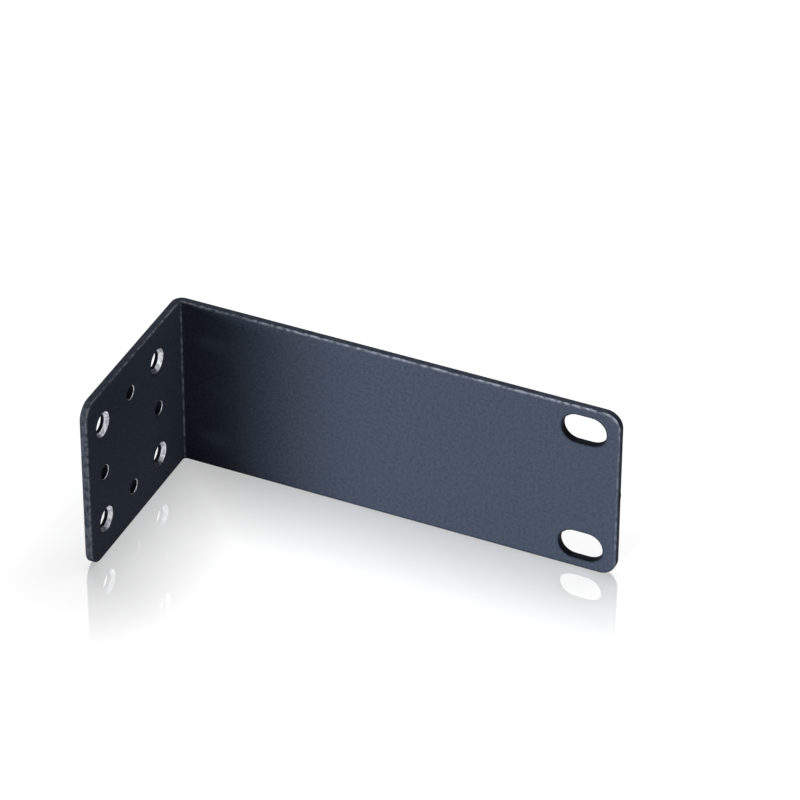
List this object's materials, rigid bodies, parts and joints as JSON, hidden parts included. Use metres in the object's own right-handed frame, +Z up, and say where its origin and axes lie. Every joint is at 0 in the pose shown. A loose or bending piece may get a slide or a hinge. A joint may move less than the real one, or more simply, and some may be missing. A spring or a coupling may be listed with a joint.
{
  "type": "rack mount ear bracket",
  "caption": "Powder-coated sheet steel angle that screws to the side of a device and bolts to a rack's post through slots near its free end.",
  "frame": {"origin": "middle of the bracket's box, on the plane of its lower edges", "axes": "+X along the long flange to its slotted end, -Y along the short flange from the fold to its free end, +Z up along the fold"},
  "size_m": [0.109, 0.0478, 0.0442],
  "materials": {
    "coat": "satin black powder coat with a fine grain"
  },
  "bodies": {
    "root": {"ear_bracket": "coat"}
  },
  "joints": []
}
